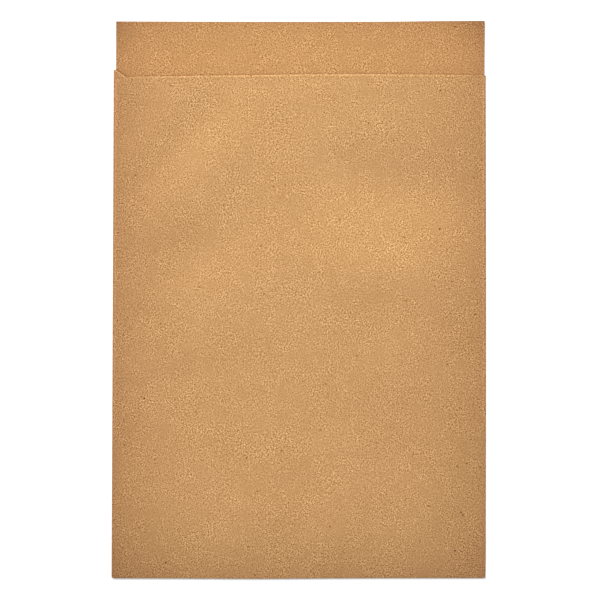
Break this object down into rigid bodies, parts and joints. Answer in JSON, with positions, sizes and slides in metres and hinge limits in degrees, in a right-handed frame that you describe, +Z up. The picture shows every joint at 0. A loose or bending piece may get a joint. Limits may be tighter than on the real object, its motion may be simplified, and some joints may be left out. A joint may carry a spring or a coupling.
{
  "type": "flat paper bag",
  "caption": "Flat kraft paper bag, folded and glued from one sheet, with an open mouth, a closure flap above it and a bottom flap glued to the back.",
  "frame": {"origin": "under the middle of the bag, on the surface that it lies on", "axes": "+X across the bag to the right as its front is seen, +Y from the bottom fold towards the closure flap, +Z up out of the front panel"},
  "size_m": [0.25, 0.3716, 0.0034],
  "materials": {
    "kraft_paper": "uncoated recycled brown kraft, matt, with fine specks and fibres"
  },
  "bodies": {
    "root": {"paper_bag": "kraft_paper"}
  },
  "joints": []
}
